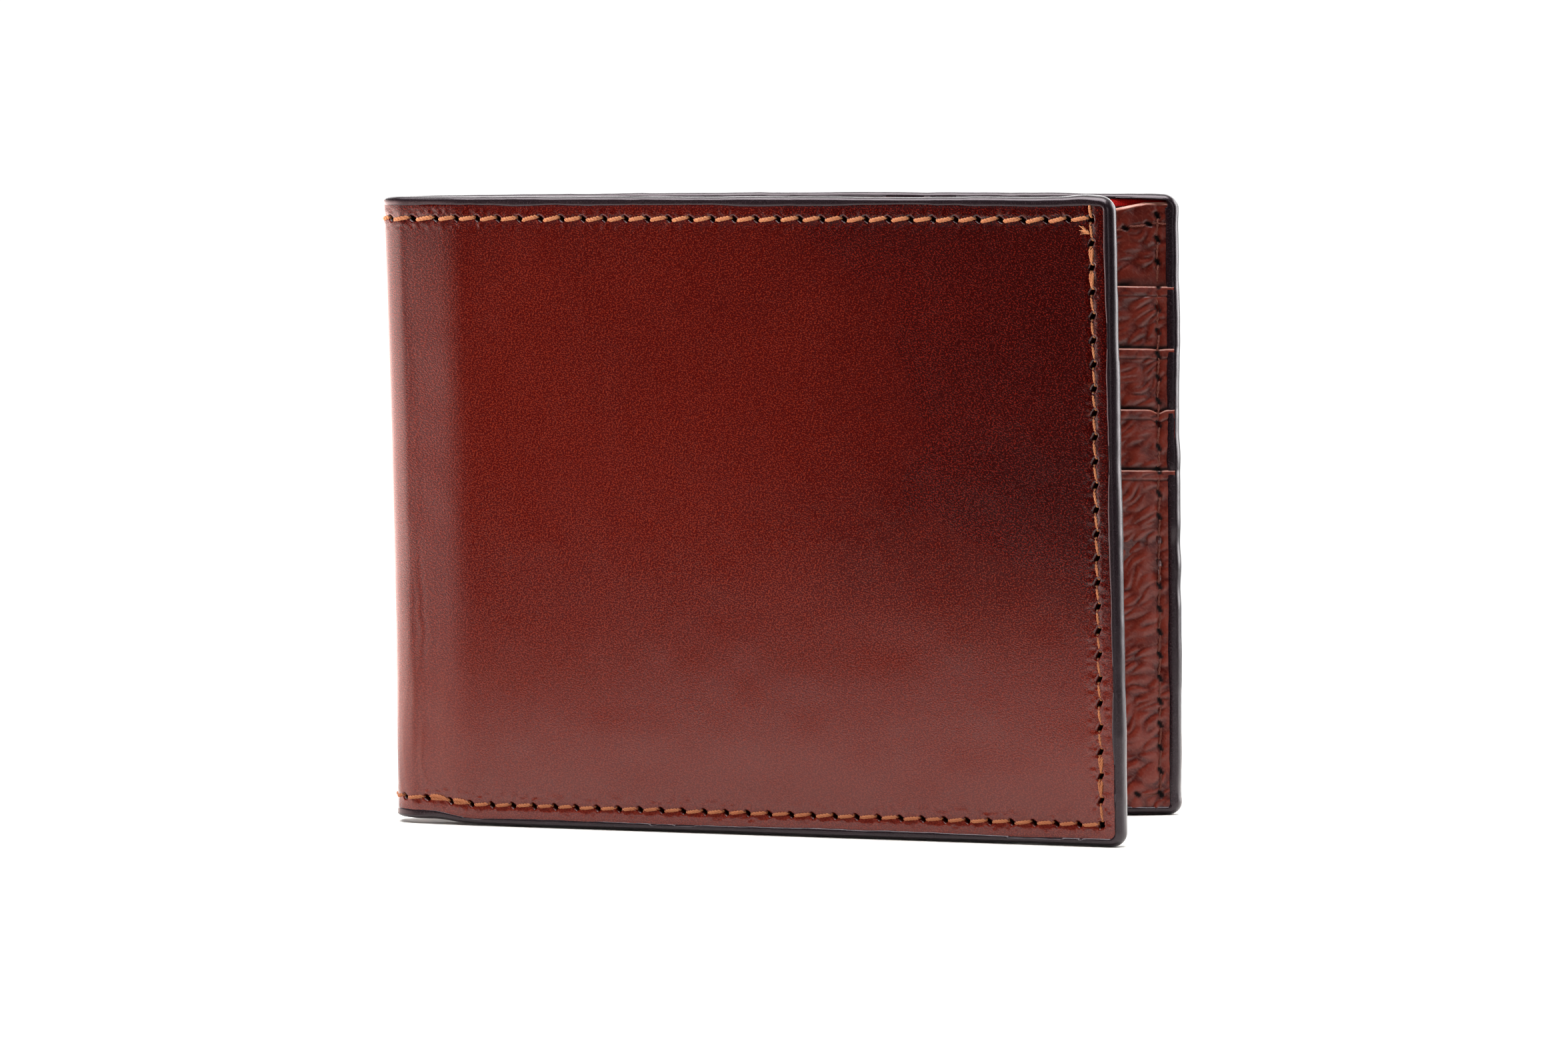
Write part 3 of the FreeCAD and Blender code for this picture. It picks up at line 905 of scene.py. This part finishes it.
def make_pocket(half, index):
    is_front = index == len(POCKET_TOPS) - 1
    low = EDGE if is_front else POCKET_TOPS[index] - STRIP_HEIGHT
    high = POCKET_TOPS[index]
    next_top = 0 if is_front else POCKET_TOPS[index + 1]
    warp = under_top(low, high, EDGE, lambda u: pocket_edge(index, u))

    def face(u, z):
        relief, _, _ = hole_relief(u, z, INNER_HOLES, INNER_HOLE, depth=0.12)
        below = pocket_edge(index, u) - z
        crease = 0.12 * bump(below, 1.4, 0.14)
        bevel = 0.20 * bump(below, 0, 0.13)
        flat_band = ease(0.9, 1.8, below)
        groove = 0.12 * (bump(u, U_SEAM, 0.35) + bump(u, U_FOLD + POCKET_SEAM, 0.35))
        return (pocket_body(index, u, z) - milled(u, z) * (0.3 + 0.7 * flat_band)
                - relief + groove + crease + bevel)

    def back(u, z):
        hidden = 0.8 * (1 - z / high) if is_front else 0
        return pocket_body(index, u, z) + POCKET * pressed(u) * 0.9 + hidden

    def paint(u, z):
        _, dark, _ = hole_relief(u, z, INNER_HOLES, INNER_HOLE)
        below = pocket_edge(index, u) - z
        # Painted shadow just above the next pocket's edge, where that pocket stands off this one.
        shade = 0 if is_front else bump(z, pocket_edge(index + 1, u) + 0.20, 0.36)
        # Painted shade along the crease under the pocket's top edge.
        groove = 0.55 * bump(below, 1.4, 0.12)
        return {"raw": 0.75 * (1 - ease(0.08, 0.17, below)),
                "dark": np.clip(dark + shade + groove, 0, 1),
                "crown": crown_share(u, z)}

    def detail(u, z):
        return z > next_top - 0.5

    us = spaced(U_FOLD + POCKET_START, U_END - EDGE, INNER_STEP)
    zs = edge_spaced(low, high, INNER_STEP, 2.0, 16)
    name = "%s_pocket_%d" % (half.side, index + 1)
    obj = sheet_object(name, half, INNER_LEATHER, us, zs, detail, face, back, warp, paint)
    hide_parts("%s_card_pocket_%d" % (half.side, index + 1))
    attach(obj, half.body)


# ---- the painted edge
def perimeter(step):
    """Stations round a half's edge, from the spine's top to its foot: u, z and the outward direction."""
    radius = CORNER_RADIUS
    round_u, top_z = U_END - radius, HEIGHT - radius
    stations = [(u, HEIGHT, 0.0, 1.0) for u in np.arange(0, round_u, step)]
    for centre_z, first in ((top_z, math.pi / 2), (radius, 0.0)):
        for angle in np.linspace(first, first - math.pi / 2, 12):
            out_u, out_z = math.cos(angle), math.sin(angle)
            stations.append((round_u + radius * out_u, centre_z + radius * out_z, out_u, out_z))
        if first:
            stations += [(U_END, z, 1.0, 0.0) for z in np.arange(top_z - step, radius + step, -step)]
    stations += [(u, 0.0, 0.0, -1.0) for u in np.arange(round_u - step, step, -step)]
    stations.append((0.0, 0.0, 0.0, -1.0))
    return np.array(stations)


def edge_inner_level(u, z):
    """n of the inside of the stack, just inside the painted edge."""
    at_top = -LINING - (DIVIDER + LINING) * ease(U_END - 10.0, U_END - 2.5, u)
    pocket = 0 * u
    for index in range(len(POCKET_TOPS)):
        tops = ease(POCKET_TOPS[index] + 0.5, POCKET_TOPS[index] - 0.5, z)
        pocket = np.maximum(pocket, tops * pocket_level(index, z))
    inside = ease(U_FOLD + 2.0, U_FOLD + 5.0, u)
    with_pocket = ease(U_FOLD + 5.2, U_FOLD + 6.5, u)
    stack = -2 * LINING - DIVIDER * inside - pocket * with_pocket * pressed(u)
    return np.where(z > HEIGHT - CORNER_RADIUS - 0.01, at_top, stack)


NOSE_POWER = 1.75             # 2 is a round nose, less is more pointed
EDGE_STEP = 0.42


def make_edge(half):
    """A bead of paint round the half's edge: its profile laps over both faces, with a nose between them."""
    is_front = half is FRONT
    u, z, out_u, out_z = perimeter(EDGE_STEP).T
    run = np.concatenate([[0], np.cumsum(np.hypot(np.diff(u), np.diff(z)))])

    def noise(cell, seed):
        return smooth_noise(run, 0 * run, cell, seed)

    wave = noise(6.0, 61 if is_front else 62)
    ripple = noise(1.7, 63 if is_front else 64)
    outer_width = 1.22 + 0.14 * wave + 0.05 * ripple
    inner_width = (1.18 + 0.65 * np.maximum(out_u, 0) - 0.38 * np.maximum(out_z, 0)
                   + 0.12 * noise(5.0, 65) + 0.05 * ripple)
    inner = edge_inner_level(u, z)
    hump = (0.22 if is_front else 0.10) * bump(z, HEIGHT, 3.0) * bump(u, U_END - 3.5, 2.2)
    uneven = 0 if is_front else 0.10 * np.maximum(out_u, 0) * noise(3.2, 66)
    swell = 0.05 * wave + 0.02 * ripple - 0.02 + hump + uneven
    proud = 0.05 + 0.02 * wave
    face, back = COVER + proud, inner - proud
    half_thick, centre = (face - back) / 2, (face + back) / 2
    nose = 0.62 + 0.30 * ease(1.6, 3.2, face - back) + 0.04 * wave
    foot = 0.14 * np.maximum(-out_z, 0)
    power = 2 / NOSE_POWER
    profile = [(-outer_width, COVER - 0.20), (-outer_width, COVER - 0.03), (-outer_width + 0.22, face)]
    for turn in np.linspace(math.pi / 2, -math.pi / 2, 19):
        flare = foot * ease(-0.2, 0.9, math.sin(turn)) * ease(0, 0.5, math.cos(turn))
        profile.append((nose * (math.cos(turn) ** power - 1) + swell,
                        centre + half_thick * math.copysign(abs(math.sin(turn)) ** power, turn) + flare))
    profile += [(-inner_width + 0.22, back), (-inner_width, inner + 0.03), (-inner_width, inner + 0.20),
                (-1.0, (COVER + inner) / 2)]
    rows = []
    for outward, n in profile:
        outward, n = np.broadcast_to(outward, u.shape), np.broadcast_to(n, u.shape)
        rows.append(half.place(u + outward * out_u, n, z + outward * out_z))
    points = np.stack(rows, 1).reshape(-1, 3)
    sides, count = len(profile), len(u)
    uv = np.stack([np.repeat(run, sides), np.tile(np.arange(sides) * 0.45, count)], -1)
    obj = make_object(half.side + "_edge_paint", points, tube_faces(count, sides), EDGE_PAINT, uv)
    across_fold(obj)


# ---- the seams
OUTER_LEVEL = (COVER - 0.10, COVER - 0.10)     # n of the leather at both ends of an outer stitch


def make_outer_thread(half):
    """The outer seam: a top row, a bottom row and a column, with some stitches sewn over twice."""
    run = ThreadRun(half.side + "_edge_stitches", half, TAN_THREAD)
    level = OUTER_LEVEL
    for row, slant, radius, height in ((TOP_ROW, 0.22, 0.31, 0.12), (BOTTOM_ROW, 0.15, 0.27, 0.05)):
        run.radius = radius
        for k in range(len(row) - 1):
            run.stitch(row[k], row[k + 1], level, slant, gap=0.46, phase=k * 1.7, height=height)
    for k in (2, 3):
        run.stitch(BOTTOM_ROW[k], BOTTOM_ROW[k + 1], level, -0.1, gap=0.3, phase=k, height=0.14, shift=0.34)
    run.radius = 0.21
    for k in range(len(COLUMN) - 1):
        doubled = k in (1, 2, 22, 23)
        run.stitch(COLUMN[k + 1], COLUMN[k], level, 0.17, gap=0.42, phase=k * 2.1,
                   height=0.05 if doubled else -0.02, shift=-0.12 if doubled else 0.0)
        if doubled:
            run.stitch(COLUMN[k + 1], COLUMN[k], level, -0.12, gap=0.42, phase=k, height=0.10, shift=0.16)
    over_edge = (U_SEAM - 0.1, HEIGHT - 0.75)     # the column's last stitch ends in the painted edge
    run.stitch(COLUMN[-1], over_edge, (COVER - 0.1, COVER), 0.05, gap=0.25, height=0.06)
    obj = run.make(half.side + "_edge_thread")
    across_fold(obj)


def make_frayed_end(half):
    """The cut end of the thread, frayed, by the doubled stitches at the top corner."""
    run = ThreadRun(half.side + "_frayed_end", half, FRAYED_THREAD)
    rng = np.random.default_rng(5)
    root = np.array([U_SEAM - 0.35, COVER - 0.1, HEIGHT - SEAM_MARGIN - 1.9])
    for _ in range(30):
        direction = np.array([-0.80 + 0.28 * rng.normal(), 0.30 + 0.2 * rng.random(),
                              0.60 + 0.30 * rng.normal()])
        length = 0.55 + 0.55 * rng.random()
        t = np.linspace(0, 1, 6)[:, None]
        bend = np.array([0, 0.1 * rng.normal(), -0.25 * rng.random()])
        path = root + 0.07 * rng.normal(size=3) + direction * length * t + bend * t * t
        run.add(path, 0.06 * (1 - 0.5 * t[:, 0]), 5)
    obj = run.make()
    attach(obj, half.body)


def inner_level(u, z):
    """n of the visible inside face at a point."""
    for index in range(len(POCKET_TOPS) - 1, -1, -1):
        if z < POCKET_TOPS[index] - 0.2 and u > U_FOLD + POCKET_START:
            return float(pocket_body(index, np.array(u), np.array(z)))
    return float(DIVIDER_FACE - open_gap(u, z))


def make_inner_threads(half):
    seams = {"inner": (INNER_COLUMN[::-1], INNER_ROW), "pocket": (POCKET_COLUMN[::-1],),
             "divider": (DIVIDER_ROW,)}
    for word, rows in seams.items():
        run = ThreadRun("%s_%s_stitches" % (half.side, word), half, BROWN_THREAD, 0.17, 2, 14, 6)
        for row in rows:
            for k in range(len(row) - 1):
                level = inner_level(*row[k][:2]) + 0.06, inner_level(*row[k + 1][:2]) + 0.06
                run.stitch(row[k], row[k + 1], level, -0.13, gap=0.46, phase=k * 1.3, height=0.04, outward=-1)
        obj = run.make("%s_%s_thread" % (half.side, word))
        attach(obj, half.body)


def make_spine_threads():
    """The stitch that lies across the middle of the spine, top and bottom."""
    for word, z in (("top", HEIGHT - SEAM_MARGIN), ("bottom", SEAM_MARGIN)):
        run = ThreadRun("spine_%s_stitch" % word, FRONT, TAN_THREAD)
        slant = 0.22 if word == "top" else 0.17
        start, end = (-ROW_PITCH / 2, z), (ROW_PITCH / 2, z)
        run.stitch(start, end, OUTER_LEVEL, slant, gap=0.46, height=0.12)
        obj = run.make("spine_%s_thread" % word)
        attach(obj, "spine")


for each_half in (FRONT, BACK):
    make_cover(each_half)
    make_lining(each_half)
    make_divider(each_half)
    for pocket in range(len(POCKET_TOPS)):
        make_pocket(each_half, pocket)
    make_edge(each_half)
    make_outer_thread(each_half)
    make_inner_threads(each_half)
make_frayed_end(FRONT)
make_spine_threads()


# ---- floor, light and camera
def make_floor():
    """A round white table top."""
    material = bpy.data.materials.new("white_table")
    material.use_nodes = True
    shader = material.node_tree.nodes["Principled BSDF"]
    shader.inputs["Base Color"].default_value = (0.90, 0.88, 0.84, 1)
    shader.inputs["Roughness"].default_value = 0.7
    mesh = bpy.data.meshes.new("table")
    radius = 0.23
    ring = [(radius * math.cos(a), radius * math.sin(a), 0.0) for a in np.linspace(0, 2 * math.pi, 97)[:-1]]
    mesh.from_pydata(ring, [], [list(range(96))])
    mesh.materials.append(material)
    in_scene("table", mesh)


def make_world():
    """A white studio for the camera. As a source of light it is bright and warm low down on the left,
    pale behind and dark in front."""
    world = bpy.data.worlds.new("studio")
    bpy.context.scene.world = world
    world.use_nodes = True
    m = Nodes(world.node_tree)
    direction = m.add("ShaderNodeTexCoord", {}).outputs["Generated"]
    x, y, z = m.add("ShaderNodeSeparateXYZ", {0: direction}).outputs
    towards_left = m.minus(m.times(y, 0.5), m.times(x, 0.866))
    low = m.times(m.ramp(towards_left, 0.33, 0.78, 0.0, 6.2), m.ramp(z, -0.16, 0.08, 1.0, 0.0))
    side = m.times(m.ramp(towards_left, 0.40, 0.74, 0.0, 2.6), m.ramp(z, 0.10, 0.35, 1.0, 0.0))
    behind = m.plus(m.ramp(y, 0.0, 0.5, 0.0, 0.5), 0.005)

    def background(colour, strength):
        return m.add("ShaderNodeBackground", {"Color": (*colour, 1.0), "Strength": strength}).outputs[0]

    warm = background((1.0, 0.74, 0.68), m.plus(low, side))
    light = m.add("ShaderNodeAddShader", {0: warm, 1: background((1.0, 1.0, 1.0), behind)}).outputs[0]
    seen = background((1.0, 1.0, 1.0), 1.1)
    by_camera = m.add("ShaderNodeLightPath", {}).outputs["Is Camera Ray"]
    mix = m.add("ShaderNodeMixShader", {0: by_camera, 1: light, 2: seen}).outputs[0]
    m.set(world.node_tree.nodes["World Output"].inputs["Surface"], mix)


def make_light(name, place, target, size, power, glossy=True):
    """A soft box at a place, in metres, that faces a target."""
    data = bpy.data.lights.new(name, "AREA")
    data.shape = "RECTANGLE"
    data.size, data.size_y = size
    data.energy = power
    light = in_scene(name, data)
    forward = np.array(target, float) - np.array(place, float)
    forward /= np.linalg.norm(forward)
    light.matrix_world = aimed(place, forward, 0.0)
    light.visible_camera = False
    light.visible_glossy = glossy


def aimed(place, forward, roll):
    """A world matrix that looks along forward, with a roll in radians."""
    reference = (0, 0, 1.0) if abs(forward[2]) < 0.999 else (0, 1.0, 0)
    right = np.cross(forward, reference)
    right /= np.linalg.norm(right)
    up = np.cross(right, forward)
    turned_right = math.cos(roll) * right + math.sin(roll) * up
    turned_up = math.cos(roll) * up - math.sin(roll) * right
    columns = np.column_stack([turned_right, turned_up, -np.array(forward), place])
    return Matrix([*columns.tolist(), (0.0, 0.0, 0.0, 1.0)])


def make_camera():
    yaw, pitch, roll = (math.radians(angle) for angle in (-2.16, 3.01, -0.5))
    forward = (math.sin(yaw) * math.cos(pitch), math.cos(yaw) * math.cos(pitch), -math.sin(pitch))
    data = bpy.data.cameras.new("camera")
    data.sensor_width = 36.0
    data.lens = 162.7
    data.clip_start = 0.01
    camera = in_scene("camera", data)
    camera.matrix_world = aimed((0.0377, -0.98796, 0.0954), forward, roll)
    bpy.context.scene.camera = camera


make_floor()
make_world()
make_light("overhead", (-0.05, -0.04, 0.75), (-0.05, -0.04, 0), (0.8, 0.5), 13.5)
make_light("glint", (-0.60, -0.58, 0.30), (0, 0, 0.05), (0.35, 0.25), 0.10)
make_light("left", (-0.66, 0.20, -0.06), (-0.05, 0, 0.03), (0.5, 0.4), 10.5, glossy=False)
make_light("right", (0.72, 0.42, 0.28), (0, 0, 0.04), (0.5, 0.6), 6.5)
make_light("behind", (0.0, 0.85, 0.45), (0, 0, 0.04), (1.2, 0.6), 8.0)
make_light("front_right", (0.55, -0.95, 0.32), (0.05, 0, 0.04), (0.45, 0.5), 1.5)
make_camera()
bpy.context.scene.view_settings.view_transform = "Standard"
